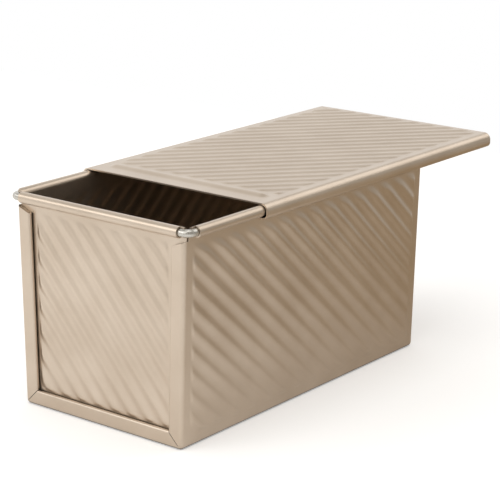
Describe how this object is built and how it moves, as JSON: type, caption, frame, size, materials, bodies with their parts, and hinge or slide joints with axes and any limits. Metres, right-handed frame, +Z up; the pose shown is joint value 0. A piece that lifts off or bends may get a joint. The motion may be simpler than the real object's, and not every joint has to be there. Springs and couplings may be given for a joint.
{
  "type": "pullman loaf pan",
  "caption": "Deep rectangular loaf pan of ribbed sheet steel with folded end seams, a wired rim and a ribbed lid that slides along the rim.",
  "frame": {"origin": "middle of the pan's base, on the face that it stands on", "axes": "+X along the pan, towards the end that the lid slides off; +Z up; -Y is the long side that the picture shows"},
  "size_m": [0.2699, 0.123, 0.1152],
  "materials": {
    "champagne_coating": "satin metallic non-stick coating",
    "bright_wire": "bright drawn wire"
  },
  "bodies": {
    "pan": {"pan_body": "champagne_coating", "near_end_panel": "champagne_coating", "far_end_panel": "champagne_coating", "rim_wire": "bright_wire"},
    "lid": {"sliding_lid": "champagne_coating"}
  },
  "joints": [
    {"name": "lid_slide", "type": "slide", "parent": "pan", "child": "lid", "axis": [1, 0, 0], "range_m": [-0.06, 0.155]}
  ]
}
